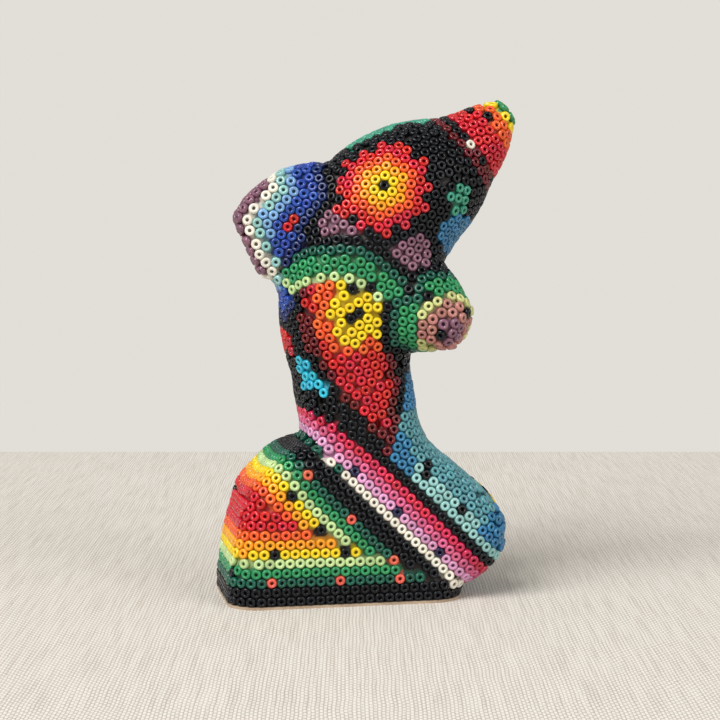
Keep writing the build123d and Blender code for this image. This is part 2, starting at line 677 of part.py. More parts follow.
    def fill(self):
        """Fills what is bare from the beads round it, eases the packing, and fills again."""
        skin = self.skin
        for room, rounds in ((0.95, 30), (0.93, 45), (0.94, 45)):
            self.fill_once(room)
            skin.relax(rounds)
        for _ in range(2):
            skin.drop_crowded()
            self.fill_once(0.975)
            skin.relax(30)
        skin.drop_crowded()

    def fill_once(self, room):
        """Adds beads beside others until none has room."""
        skin = self.skin
        recent = list(range(len(skin.places)))
        while recent:
            new = skin.grow("field", 0, recent, everywhere, ALONG_ROW, room=room)
            if not new:
                break
            near = cKDTree(skin.places).query_ball_point(skin.places[np.array(new)], 2.2 * ALONG_ROW)
            recent = sorted({number for group in near for number in group})

    # ---- colours
    def colours(self):
        """The zone and colour of every bead, in order."""
        skin = self.skin
        names = []
        for place, motif, row in zip(skin.places, skin.motifs, skin.rows):
            names.append(self.colour(place, motif, row))
        self.accents(names)
        return names

    def colour(self, place, motif, row):
        """The zone and colour of one bead from its motif and row, or else from its place."""
        if motif in ("field", "tail"):
            return self.ground(place)
        sequence = SEQUENCES[motif]
        colour = sequence[min(row, len(sequence) - 1)]
        if motif == "flower" and row == 5:
            x, z = place[0] - FLOWER[0], place[2] - FLOWER[1]
            colour = "red" if np.cos(12 * np.arctan2(z, x)) > -0.2 else "black"
        return ZONES.get(motif, motif), colour

    def ground(self, place):
        """The zone and colour of a bead that belongs to no row, from where it stands."""
        x, y, z = place[0] - BODY_AXIS, abs(place[1]), place[2]
        if not above_band(place[None])[0]:
            return "foot", "black" if z < 30 else "dark_green"
        if on_tail(place[None])[0]:
            return self.tail_colour(place)
        if z < ARC[1] or np.hypot(x + 1.0, z - ARC[1]) < ARC_RADIUS:
            return self.chest_colour(x, y, z)
        if y < 3.4 and 3.5 < x < 22 and z > 97:
            return "head", "sea_green"
        if np.hypot(x - 26.0, z - 88.5) < 2.9 and y > 3:
            return "head", "sea_green"
        if np.hypot((x - 26.3) / 1.25, z - 80.5) < 4.4 and z > 74.5 and x > 20:
            return "head", "azure"
        for middle_x, middle_z in ((-1.6, 84.0), (15.4, 77.0)):
            if np.hypot((x - middle_x) / 1.15, z - middle_z) < 3.7 and y > 6:
                return "head", "mauve"
        return "head", "black"

    @staticmethod
    def chest_colour(x, y, z):
        """Colours of the leaf on the chest: yellow heart, orange and red round it, black edge."""
        heart = np.hypot((x - 2.9) / 1.0, (z - 65.2) / 1.15)
        left_edge = np.interp(z, [35, 44, 50, 57, 66, 72], [9.6, 1.5, -3.2, -7.4, -9.6, -9.6])
        right_edge = np.interp(z, [35, 40, 46, 58, 70], [9.9, 12.2, 12.6, 11.6, 12.4])
        if y < 4.5 and x < 0:
            return "chest", "red" if 55 < z < 65 else "black"
        if not left_edge < x < right_edge:
            under = z < 56 and x < left_edge - 0.8 and x < 0.4 - 0.9 * (z - 45)
            return "chest", "cyan" if under and z > 45.4 - 0.25 * x else "black"
        depth = min(x - left_edge, right_edge - x)
        if heart < 6.6:
            return "chest", "yellow"
        if heart < 9.0 and depth > 1.0:
            return "chest", "orange"
        return "chest", "red" if depth > 1.9 else "dark_red"

    @staticmethod
    def tail_colour(place):
        """Colours of the tail's upper side; the far fluke is striped."""
        x, y, z = place[0] - BODY_AXIS, place[1], place[2]
        along = (place - BAND_POINT) @ BAND_ALONG
        height = (place - BAND_POINT) @ BAND_NORMAL
        if y > 3.5 and along > 17 and height > 11.5:
            return "tail", "yellow" if int((along + 0.5 * y) / 2.4) % 2 else "black"
        if z > 43 or (height < 14.5 and abs(y) > 8 and x < 15.5):
            return "tail", "azure"
        if along > 24 and height > 10 or abs(y) < 2.5:
            return "tail", "azure"
        return "tail", "aqua" if height < 12.2 else "teal"

    def accents(self, names):
        """Single beads of another colour, spaced along their rows."""
        skin = self.skin
        motifs = np.array(skin.motifs)
        rows = np.array(skin.rows)

        def mark(motif, row, targets, zone, colour):
            numbers = np.flatnonzero((motifs == motif) & (rows == row))
            for target in targets:
                span = np.linalg.norm(skin.places[numbers] - target, axis=1)
                if len(span) and span.min() < 2.5:
                    names[numbers[int(np.argmin(span))]] = (zone, colour)

        half = FOOT_DEPTH / 2 + SKIN
        low = LOWEST_ROW + 2 * ACROSS_ROWS
        for side in (1, -1):
            mark("foot", 2, [(x, -side * half, low) for x in np.arange(-16.5, 18, 13.6)], "foot", "coral")
            mark("foot", 5, [(x, -side * half, low + 3 * ACROSS_ROWS) for x in (-16.0, -1.5, 8.0)],
                 "foot", "black")
            for row, start, zone, colour in ((1, 0.0, "band", "navy"), (3, -6.5, "foot", "coral"),
                                             (6, 5.0, "foot", "black")):
                motif = "band" if zone == "band" else "slope"
                rise = row * ACROSS_ROWS * (1 if zone == "band" else -1)
                line = [BAND_POINT + BAND_ALONG * (start - 5 + 12.8 * k) + BAND_NORMAL * rise
                        for k in range(-1, 4)]
                mark(motif, row, [p * [1, 0, 1] - np.array([0, side * half, 0]) for p in line], zone, colour)
            self.spot(names, [(26.0 + BODY_AXIS + 4.6, 100.2)], side, "beak", "white")
            self.spot(names, [(BODY_AXIS - 10.4, 84.8), (BODY_AXIS - 11.0, 82.6)], side, "dorsal_fin", "red")
            self.spot(names, [(BODY_AXIS + 1.6, 68.4), (BODY_AXIS + 5.8, 70.0), (BODY_AXIS + 1.2, 63.6),
                              (BODY_AXIS + 3.0, 64.0)], side, "chest", "black")
            self.spot(names, [(BODY_AXIS + 18.2, 30.6), (BODY_AXIS + 18.0, 28.6), (BODY_AXIS + 25.6, 20.4)],
                      side, "tail", "black")

    def spot(self, names, targets, side, zone, colour):
        """Recolours the bead under each point of the near or far side."""
        for target in targets:
            place = self.skin.cast(*target, side)
            number = int(np.argmin(np.linalg.norm(self.skin.places - place, axis=1)))
            names[number] = (zone, colour)


# ---------------------------------------------------------------- solids
def bead_solid():
    """A glass bead: a short tube with its outer edges rounded off."""
    radius, half, hole, cut = BEAD_DIAMETER / 2, BEAD_LENGTH / 2, BEAD_HOLE / 2, BEAD_ROUNDING
    outline = Polyline((hole, -half), (radius - cut, -half), (radius, cut - half), (radius, half - cut),
                       (radius - cut, half), (hole, half), close=True)
    return revolve(Plane.XZ * make_face(outline), Axis.Z)


def bead_groups(maker):
    """Beads as solids, grouped by zone and colour."""
    bead = bead_solid()
    axes = maker.skin.settle(maker.skin.places, rounds=0)[1]
    groups = {}
    for place, axis, (zone, colour) in zip(maker.skin.places, axes, maker.colours()):
        name = SHARED.get(colour, f"{zone}_{colour}") + "_beads"
        spot = Plane(origin=Vector(*place), z_dir=Vector(*axis)).location
        groups.setdefault(name, []).append(spot * bead)
    return groups


def wooden_pieces(carving):
    """The carved pieces, each cut to seat against the ones before it."""
    pieces = {}
    for limb in carving.limbs:
        piece = limb.solid()
        for other in list(pieces.values()):
            piece = piece - other
        pieces[limb.name] = piece
    return pieces


def wax_coat(carving, pieces):
    """The wax over all the wooden pieces."""
    coat = None
    for limb in carving.limbs:
        coat = limb.solid(WAX_THICKNESS) if coat is None else coat + limb.solid(WAX_THICKNESS)
    for piece in pieces.values():
        coat = coat - piece
    return coat


def bottom_board():
    """The thin board under the foot, its edge just inside the beads' outer faces."""
    grow = SKIN + BEAD_LENGTH / 2 - BOARD_INSET
    sheet = RectangleRounded(FOOT_LENGTH + 2 * grow, FOOT_DEPTH + 2 * grow, FOOT_EDGE + grow)
    return extrude(sheet, amount=BOARD_THICKNESS)


def build():
    """Writes every sub-part to parts/."""
    os.makedirs("parts", exist_ok=True)
    carving = Carving()
    pieces = wooden_pieces(carving)
    for name, piece in pieces.items():
        export_step(piece, f"parts/{name}_core.step")
    export_step(wax_coat(carving, pieces), "parts/wax_coat.step")
    export_step(bottom_board(), "parts/bottom_board.step")
    maker = Maker(carving)
    maker.lay()
    groups = bead_groups(maker)
    for name, beads in groups.items():
        export_step(Compound(beads), f"parts/{name}.step", write_pcurves=False)
    print(len(groups), "bead groups,", sum(len(beads) for beads in groups.values()), "beads")
    return maker


if __name__ == "__main__":
    build()
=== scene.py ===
import json
import logging
import math
from dataclasses import dataclass
from enum import Enum

import bpy
import numpy as np
from mathutils import Matrix, Vector
from mathutils.bvhtree import BVHTree
from mathutils.kdtree import KDTree


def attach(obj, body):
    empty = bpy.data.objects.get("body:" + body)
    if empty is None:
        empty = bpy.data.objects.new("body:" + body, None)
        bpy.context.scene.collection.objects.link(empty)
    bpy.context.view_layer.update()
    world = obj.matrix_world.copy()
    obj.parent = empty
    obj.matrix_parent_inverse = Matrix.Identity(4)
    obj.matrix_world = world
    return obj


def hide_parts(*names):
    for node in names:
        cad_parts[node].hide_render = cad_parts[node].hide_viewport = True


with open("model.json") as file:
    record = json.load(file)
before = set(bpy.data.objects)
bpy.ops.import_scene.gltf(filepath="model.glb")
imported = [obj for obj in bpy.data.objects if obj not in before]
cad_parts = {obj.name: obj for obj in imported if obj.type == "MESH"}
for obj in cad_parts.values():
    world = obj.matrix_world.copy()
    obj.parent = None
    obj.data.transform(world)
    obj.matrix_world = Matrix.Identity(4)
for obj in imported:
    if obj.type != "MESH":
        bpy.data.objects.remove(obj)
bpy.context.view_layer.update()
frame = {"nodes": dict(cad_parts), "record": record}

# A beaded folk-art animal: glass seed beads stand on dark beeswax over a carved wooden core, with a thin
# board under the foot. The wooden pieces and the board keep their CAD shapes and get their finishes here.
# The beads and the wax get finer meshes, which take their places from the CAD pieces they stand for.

log = logging.getLogger("beaded figure")
Colour = tuple[float, float, float]
Socket = bpy.types.NodeSocket
MM = 0.001
SEED = 20260


# ---------------------------------------------------------------- shader helpers
class Sheet:
    """A node tree with short ways to place nodes and wires in it."""

    MIX_INPUTS = (0, 6, 7)      # a Mix node's share and its two colours
    MIX_RESULT = 2              # a Mix node's mixed colour

    def __init__(self, tree: bpy.types.NodeTree) -> None:
        """Takes the tree that the nodes go into."""
        self.tree = tree

    def node(self, kind: str, **values: object) -> bpy.types.Node:
        """Adds a node.

        Args:
            kind: Blender's name for the node, without the "ShaderNode" in front.
            values: attributes by name, and inputs by name with underscores for spaces.

        Returns:
            The new node.
        """
        made = self.tree.nodes.new(kind if kind.startswith("NodeGroup") else f"ShaderNode{kind}")
        for name, value in values.items():
            socket = made.inputs.get(name.replace("_", " "))
            if hasattr(made, name) and socket is None:
                setattr(made, name, value)
            elif isinstance(value, Socket):
                self.tree.links.new(value, socket)
            else:
                socket.default_value = value
        return made

    def wire(self, source: Socket, target: Socket) -> None:
        """Joins two sockets."""
        self.tree.links.new(source, target)

    def maths(self, operation: str, first: object, second: object = 0.0, clamp: bool = False) -> Socket:
        """A Math node.

        Args:
            operation: Blender's name for the operation.
            first: a socket or a number.
            second: a socket or a number.
            clamp: True keeps the result from 0 to 1.

        Returns:
            The result's socket.
        """
        made = self.tree.nodes.new("ShaderNodeMath")
        made.operation = operation
        made.use_clamp = clamp
        for place, value in enumerate((first, second)):
            if isinstance(value, Socket):
                self.tree.links.new(value, made.inputs[place])
            else:
                made.inputs[place].default_value = value
        return made.outputs[0]

    def blend(self, share: object, first: object, second: object) -> Socket:
        """Mixes two colours.

        Args:
            share: a socket or a number, 0 for the first colour and 1 for the second.
            first: a socket or an (r, g, b, a) colour.
            second: a socket or an (r, g, b, a) colour.

        Returns:
            The mixed colour's socket.
        """
        made = self.tree.nodes.new("ShaderNodeMix")
        made.data_type = "RGBA"
        for place, value in zip(self.MIX_INPUTS, (share, first, second)):
            if isinstance(value, Socket):
                self.tree.links.new(value, made.inputs[place])
            else:
                made.inputs[place].default_value = value
        return made.outputs[self.MIX_RESULT]

    def spread(self, value: Socket, low: float, high: float, first: float = 0.0, last: float = 1.0) -> Socket:
        """Maps a value from low..high to first..last, clamped.

        Args:
            value: the socket to map.
            low: the value that gives first.
            high: the value that gives last.
            first: the lowest result.
            last: the highest result.

        Returns:
            The mapped value's socket.
        """
        made = self.tree.nodes.new("ShaderNodeMapRange")
        self.tree.links.new(value, made.inputs["Value"])
        for name, number in (("From Min", low), ("From Max", high), ("To Min", first), ("To Max", last)):
            made.inputs[name].default_value = number
        return made.outputs[0]


def solid(colour: Colour) -> tuple[float, float, float, float]:
    """The colour with full alpha."""
    return (*colour, 1.0)


class Effects:
    """Shader node groups for the effects that several finishes share."""

    _made: dict[str, bpy.types.NodeTree] = {}

    @classmethod
    def _open(cls, name: str, inputs: dict[str, object],
              outputs: dict[str, str]) -> tuple[Sheet, bpy.types.Node, bpy.types.Node]:
        """Starts a group with named sockets.

        Args:
            name: the group's name.
            inputs: each input's name and its usual value: a colour or a number.
            outputs: each output's name and its socket type.

        Returns:
            The group's sheet, its input node and its output node.
        """
        tree = bpy.data.node_groups.new(name, "ShaderNodeTree")
        for label, value in inputs.items():
            kind = "NodeSocketColor" if isinstance(value, tuple) else "NodeSocketFloat"
            tree.interface.new_socket(label, in_out="INPUT", socket_type=kind).default_value = value
        for label, kind in outputs.items():
            tree.interface.new_socket(label, in_out="OUTPUT", socket_type=kind)
        cls._made[name] = tree
        return Sheet(tree), tree.nodes.new("NodeGroupInput"), tree.nodes.new("NodeGroupOutput")

    @classmethod
    def bead_glass(cls) -> bpy.types.NodeTree:
        """One bead's own shade of the batch's colour, with painted shade darkening it down its hole, and
        smeared with wax at its foot.
        """
        if "Bead Glass" in cls._made:
            return cls._made["Bead Glass"]
        sheet, given, out = cls._open(
            "Bead Glass",
            {"Colour": (0.5, 0.5, 0.5, 1.0), "Painted Hole Shade": (0.1, 0.1, 0.1, 1.0),
             "Wax Colour": (0.03, 0.02, 0.01, 1.0), "Shade Spread": 0.2, "Hue Spread": 0.01, "Smear": 0.5,
             "Gloss": 0.12},
            {"Colour": "NodeSocketColor", "Roughness": "NodeSocketFloat", "Height": "NodeSocketFloat"})
        lot = sheet.node("Attribute", attribute_name="bead_lot").outputs["Fac"]
        cast = sheet.node("Attribute", attribute_name="bead_cast").outputs["Fac"]
        hole = sheet.node("Attribute", attribute_name="bead_hole").outputs["Fac"]
        foot = sheet.node("Attribute", attribute_name="bead_foot").outputs["Fac"]
        place = sheet.node("TexCoord").outputs["Object"]
        cloud = sheet.node("TexNoise", Vector=place, Scale=900.0, Detail=3.0).outputs["Fac"]
        streak = sheet.node("TexNoise", Vector=place, Scale=2600.0, Detail=2.0).outputs["Fac"]
        shade = sheet.maths("MULTIPLY", sheet.maths("SUBTRACT", lot, 0.5), given.outputs["Shade Spread"])
        shade = sheet.maths("ADD", sheet.maths("MULTIPLY", shade, 2.0), 1.0)
        shade = sheet.maths("MULTIPLY", shade, sheet.spread(cloud, 0.3, 0.7, 0.93, 1.07))
        turn = sheet.maths("MULTIPLY", sheet.maths("SUBTRACT", cast, 0.5), given.outputs["Hue Spread"])
        tuned = sheet.node("HueSaturation", Hue=sheet.maths("ADD", turn, 0.5), Value=shade,
                           Color=given.outputs["Colour"])
        # Painted shade: towards the inside of the hole the glass colour blends to a darker copy of itself.
        glass = sheet.blend(sheet.spread(hole, 0.62, 1.0), tuned.outputs["Color"],
                            given.outputs["Painted Hole Shade"])
        low = sheet.maths("ADD", foot, sheet.spread(cloud, 0.3, 0.7, -0.2, 0.2))
        smear = sheet.maths("MULTIPLY", sheet.spread(low, 0.72, 1.05), given.outputs["Smear"], clamp=True)
        sheet.wire(sheet.blend(smear, glass, given.outputs["Wax Colour"]), out.inputs["Colour"])
        rough = sheet.maths("ADD", given.outputs["Gloss"], sheet.maths("MULTIPLY", smear, 0.35))
        rough = sheet.maths("ADD", rough, sheet.spread(streak, 0.45, 0.75, 0.0, 0.08), clamp=True)
        sheet.wire(rough, out.inputs["Roughness"])
        sheet.wire(sheet.spread(cloud, 0.2, 0.8), out.inputs["Height"])
        return cls._made["Bead Glass"]

    @classmethod
    def fibre(cls) -> bpy.types.NodeTree:
        """Long fibres along one way of the piece, for wood and for pressed board."""
        if "Fibre" in cls._made:
            return cls._made["Fibre"]
        sheet, given, out = cls._open(
            "Fibre",
            {"Light": (0.6, 0.45, 0.3, 1.0), "Dark": (0.35, 0.22, 0.12, 1.0), "Across": 900.0, "Along": 60.0,
             "Ring": 120.0},
            {"Colour": "NodeSocketColor", "Height": "NodeSocketFloat", "Roughness": "NodeSocketFloat"})
        place = sheet.node("TexCoord").outputs["Object"]
        parts = sheet.node("SeparateXYZ", Vector=place)
        stretched = sheet.node("CombineXYZ",
                               X=sheet.maths("MULTIPLY", parts.outputs["X"], given.outputs["Across"]),
                               Y=sheet.maths("MULTIPLY", parts.outputs["Y"], given.outputs["Across"]),
                               Z=sheet.maths("MULTIPLY", parts.outputs["Z"], given.outputs["Along"]))
        fine = sheet.node("TexNoise", Vector=stretched.outputs[0], Scale=1.0, Detail=5.0).outputs["Fac"]
        bent = sheet.node("TexNoise", Vector=place, Scale=45.0, Detail=2.0).outputs["Fac"]
        radial = sheet.maths("ADD", sheet.maths("MULTIPLY", parts.outputs["X"], given.outputs["Ring"]),
                             sheet.maths("MULTIPLY", bent, 3.0))
        ring = sheet.maths("ABSOLUTE", sheet.maths("SINE", radial))
        mix = sheet.maths("ADD", sheet.maths("MULTIPLY", fine, 0.7), sheet.maths("MULTIPLY", ring, 0.3))
        sheet.wire(sheet.blend(sheet.spread(mix, 0.3, 0.75), given.outputs["Light"], given.outputs["Dark"]),
                   out.inputs["Colour"])
        sheet.wire(fine, out.inputs["Height"])
        sheet.wire(sheet.spread(mix, 0.3, 0.8, 0.5, 0.75), out.inputs["Roughness"])
        return cls._made["Fibre"]


def start_material(name: str) -> tuple[bpy.types.Material, Sheet, bpy.types.Node]:
    """A material with one Principled shader.

    Args:
        name: the finish's name.

    Returns:
        The material, its sheet and the shader node.
    """
    material = bpy.data.materials.new(name)
    material.use_nodes = True
    sheet = Sheet(material.node_tree)
    return material, sheet, material.node_tree.nodes["Principled BSDF"]


def add_bump(sheet: Sheet, shader: bpy.types.Node, height: Socket, depth: float,
             strength: float = 1.0) -> None:
    """Feeds the shader's normal from a height.

    Args:
        sheet: the material's sheet.
        shader: the Principled node.
        height: the height's socket, from 0 to 1.
        depth: the real depth of that height, in metres.
        strength: the share of the effect.
    """
    bump = sheet.node("Bump", Distance=depth, Strength=strength, Height=height)
    sheet.wire(bump.outputs["Normal"], shader.inputs["Normal"])


# ---------------------------------------------------------------- finishes
WAX_TONE = (0.022, 0.012, 0.007)


@dataclass(frozen=True)
class GlassFinish:
    """One colour of opaque seed bead; lengths are in metres."""

    slot: str
    colour: Colour
    shade_spread: float = 0.16
    hue_spread: float = 0.012
    hole_shade: float = 0.45                # share of the glass colour kept in the painted shade down its hole
    smear: float = 0.85                     # wax left on the bead's foot
    gloss: float = 0.13
    shine: float = 0.5
    refraction: float = 1.52
    depth: float = 0.35                     # share of the light that goes in and comes back
    reach: Colour = (0.0010, 0.0008, 0.0006)
    wavy: float = 0.000012

    def material(self) -> bpy.types.Material:
        """The bead colour's material."""
        material, sheet, shader = start_material(f"{self.slot} glass")
        tone = sheet.node("Group", node_tree=Effects.bead_glass())
        tone.inputs["Colour"].default_value = solid(self.colour)
        # Painted shade down the hole: a darker copy of the bead's own colour.
        painted_hole_shade = tuple(self.hole_shade * part for part in self.colour)
        tone.inputs["Painted Hole Shade"].default_value = solid(painted_hole_shade)
        tone.inputs["Wax Colour"].default_value = solid(WAX_TONE)
        tone.inputs["Shade Spread"].default_value = self.shade_spread
        tone.inputs["Hue Spread"].default_value = self.hue_spread
        tone.inputs["Smear"].default_value = self.smear
        tone.inputs["Gloss"].default_value = self.gloss
        sheet.wire(tone.outputs["Colour"], shader.inputs["Base Color"])
        sheet.wire(tone.outputs["Roughness"], shader.inputs["Roughness"])
        shader.inputs["IOR"].default_value = self.refraction
        shader.inputs["Specular IOR Level"].default_value = self.shine
        shader.inputs["Subsurface Weight"].default_value = self.depth
        shader.inputs["Subsurface Radius"].default_value = self.reach
        shader.inputs["Subsurface Scale"].default_value = 1.0
        add_bump(sheet, shader, tone.outputs["Height"], self.wavy)
        return material


GLASS: dict[str, GlassFinish] = {finish.slot: finish for finish in (
    GlassFinish("glass_black", (0.0035, 0.0050, 0.0080), shade_spread=0.30, shine=0.30, depth=0.0),
    GlassFinish("glass_dark_green", (0.005, 0.095, 0.062)),
    GlassFinish("glass_green", (0.022, 0.270, 0.100)),
    GlassFinish("glass_pale_green", (0.480, 0.660, 0.300)),
    GlassFinish("glass_yellow", (0.830, 0.610, 0.008), shade_spread=0.10),
    GlassFinish("glass_amber", (0.860, 0.360, 0.010), shade_spread=0.12),
    GlassFinish("glass_orange", (0.790, 0.110, 0.020), shade_spread=0.12),
    GlassFinish("glass_red", (0.560, 0.012, 0.022)),
    GlassFinish("glass_dark_red", (0.130, 0.004, 0.008)),
    GlassFinish("glass_crimson", (0.620, 0.022, 0.080)),
    GlassFinish("glass_pink", (0.660, 0.120, 0.270)),
    GlassFinish("glass_lilac", (0.660, 0.320, 0.540)),
    GlassFinish("glass_white", (0.800, 0.760, 0.660), shade_spread=0.08),
    GlassFinish("glass_navy", (0.010, 0.010, 0.060)),
    GlassFinish("glass_aqua", (0.260, 0.500, 0.490)),
    GlassFinish("glass_teal", (0.090, 0.285, 0.330)),
    GlassFinish("glass_sea_green", (0.045, 0.310, 0.210)),
    GlassFinish("glass_sky", (0.190, 0.380, 0.660)),
    GlassFinish("glass_azure", (0.028, 0.180, 0.360)),
    GlassFinish("glass_blue", (0.020, 0.068, 0.360)),
    GlassFinish("glass_dark_blue", (0.007, 0.020, 0.120)),
    GlassFinish("glass_mauve", (0.215, 0.098, 0.150)),
    GlassFinish("glass_peach", (0.440, 0.190, 0.165)),
    GlassFinish("glass_pale_yellow", (0.560, 0.590, 0.250)),
    GlassFinish("glass_cyan", (0.030, 0.450, 0.620)),
    GlassFinish("glass_coral", (0.720, 0.120, 0.075)),
)}


@dataclass(frozen=True)
class WaxFinish:
    """Dark beeswax, pressed up round the beads by hand, with painted light: the colour of the nearest glass
    bead is mixed in for the light that shines through the glass onto the wax.
    """

    tone: Colour = WAX_TONE
    warm: Colour = (0.060, 0.030, 0.012)
    # share of the wax colour given to the painted light from the nearest bead
    painted_light_share: float = 0.70
    refraction: float = 1.44
    dent: float = 0.06 * MM

    def material(self) -> bpy.types.Material:
        """The wax's material."""
        material, sheet, shader = start_material("beeswax")
        place = sheet.node("TexCoord").outputs["Object"]
        cloud = sheet.node("TexNoise", Vector=place, Scale=220.0, Detail=4.0).outputs["Fac"]
        fine = sheet.node("TexNoise", Vector=place, Scale=1800.0, Detail=3.0).outputs["Fac"]
        wax = sheet.blend(sheet.spread(cloud, 0.35, 0.7), solid(self.tone), solid(self.warm))
        lit = sheet.node("Attribute", attribute_name="painted_glass_light").outputs["Color"]
        # Painted light: the wax's own colour mixed with the colour of the nearest bead's light.
        sheet.wire(sheet.blend(self.painted_light_share, wax, lit), shader.inputs["Base Color"])
        sheet.wire(sheet.spread(fine, 0.3, 0.7, 0.36, 0.6), shader.inputs["Roughness"])
        shader.inputs["IOR"].default_value = self.refraction
        add_bump(sheet, shader, fine, self.dent)
        return material


class Stock(Enum):
    """The two kinds of wood: light tone, dark tone, fibres across and along, ring pitch, and knife depth."""

    CARVED = ("carved wood", (0.52, 0.34, 0.18), (0.30, 0.17, 0.08), 1400.0, 70.0, 900.0, 0.00010)
    BOARD = ("pale board", (0.50, 0.39, 0.28), (0.34, 0.25, 0.17), 1500.0, 2600.0, 300.0, 0.00003)

    def material(self) -> bpy.types.Material:
        """The stock's material."""
        name, light, dark, across, along, ring, depth = self.value
        material, sheet, shader = start_material(name)
        fibre = sheet.node("Group", node_tree=Effects.fibre())
        fibre.inputs["Light"].default_value = solid(light)
        fibre.inputs["Dark"].default_value = solid(dark)
        fibre.inputs["Across"].default_value = across
        fibre.inputs["Along"].default_value = along
        fibre.inputs["Ring"].default_value = ring
        sheet.wire(fibre.outputs["Colour"], shader.inputs["Base Color"])
        sheet.wire(fibre.outputs["Roughness"], shader.inputs["Roughness"])
        add_bump(sheet, shader, fibre.outputs["Height"], depth)
        return material


@dataclass(frozen=True)
class LinenFinish:
    """An off-white linen cloth for the table: plain weave, with thick and thin threads, dark flecks, and
    painted shade where the threads dip.
    """

    light: Colour = (0.80, 0.765, 0.71)
    # dark is the colour of the flecks and of the painted shade between the threads
    dark: Colour = (0.40, 0.345, 0.28)
    thread: float = 0.72 * MM               # thread to thread, across the view
    knuckle: float = 1.80 * MM              # length that a thread shows before it dips
    waver: float = 0.25                     # how far a thread wanders, in threads
    uneven: float = 0.22                    # shade from thread to thread
    fleck: float = 0.45                     # how dark the flecks are
    relief: float = 0.3 * MM
    sheen: float = 0.30
    roughness: float = 0.9

    def material(self) -> bpy.types.Material:
        """The cloth's material."""
        material, sheet, shader = start_material("linen")
        place = sheet.node("TexCoord").outputs["Object"]
        parts = sheet.node("SeparateXYZ", Vector=place)
        waver = sheet.node("TexNoise", Vector=place, Scale=70.0, Detail=2.0).outputs["Fac"]
        across = sheet.maths("ADD", sheet.maths("DIVIDE", parts.outputs["X"], self.thread),
                             sheet.spread(waver, 0.3, 0.7, -self.waver, self.waver))
        odd = sheet.maths("PINGPONG", sheet.maths("FLOOR", across), 1.0)
        along = sheet.maths("ADD", sheet.maths("DIVIDE", parts.outputs["Y"], self.knuckle),
                            sheet.maths("MULTIPLY", odd, 0.5))
        along = sheet.maths("ADD", along, sheet.spread(waver, 0.3, 0.7, self.waver, -self.waver))
        rounds = [sheet.maths("ABSOLUTE", sheet.maths("SINE", sheet.maths("MULTIPLY", turns, math.pi)))
                  for turns in (across, along)]
        weave = sheet.maths("MULTIPLY", sheet.spread(rounds[0], 0.0, 0.8, 0.35, 1.0),
                            sheet.spread(rounds[1], 0.0, 0.7, 0.15, 1.0))
        single = sheet.node("Mapping", Vector=place, Scale=(1 / self.thread, 40.0, 1.0))
        tone = sheet.node("TexNoise", Vector=single.outputs[0], Scale=1.0, Detail=2.0).outputs["Fac"]
        speck = sheet.node("TexNoise", Vector=place, Scale=900.0, Detail=2.0).outputs["Fac"]
        # Painted shade and highlight: the weave's low places between threads are painted dark and its crowns
        # light, on top of each thread's own uneven tone and the dark flecks.
        shade = sheet.maths("ADD", sheet.spread(weave, 0.1, 0.85),
                            sheet.spread(tone, 0.3, 0.7, -self.uneven, self.uneven))
        shade = sheet.maths("SUBTRACT", shade, sheet.spread(speck, 0.64, 0.74, 0.0, self.fleck), clamp=True)
        sheet.wire(sheet.blend(shade, solid(self.dark), solid(self.light)), shader.inputs["Base Color"])
        shader.inputs["Roughness"].default_value = self.roughness
        shader.inputs["Sheen Weight"].default_value = self.sheen
        add_bump(sheet, shader, weave, self.relief, 0.5)
        return material


# ---------------------------------------------------------------- beads
@dataclass
class BeadPlaces:
    """Where the beads of one CAD piece stand, and their glass."""

    middles: np.ndarray
    outward: np.ndarray                     # directions out of the figure
    room: np.ndarray                        # distance to the nearest beads
    colour: Colour = (0.0, 0.0, 0.0)


SAME_SPOT = 1e-7            # vertices nearer than this, in metres, are one


def loose_parts(mesh: bpy.types.Mesh) -> tuple[np.ndarray, np.ndarray]:
    """Sorts a mesh's vertices into its loose parts.

    Args:
        mesh: the mesh.

    Returns:
        The vertices, and each one's part number from 0. Vertices in the same spot belong together.
    """
    points = np.empty(len(mesh.vertices) * 3)
    mesh.vertices.foreach_get("co", points)
    points = points.reshape(-1, 3)
    edges = np.empty(len(mesh.edges) * 2, np.int64)
    mesh.edges.foreach_get("vertices", edges)
    first, second = edges.reshape(-1, 2).T
    spot = np.unique(np.round(points / SAME_SPOT).astype(np.int64), axis=0, return_inverse=True)[1].ravel()
    first, second = spot[first], spot[second]
    label = np.arange(spot.max() + 1)
    while True:
        least = np.minimum(label[first], label[second])
        fresh = label.copy()
        np.minimum.at(fresh, first, least)
        np.minimum.at(fresh, second, least)
        fresh = fresh[fresh]
        if np.array_equal(fresh, label):
            break
        label = fresh
    return points, np.unique(label[spot], return_inverse=True)[1].ravel()


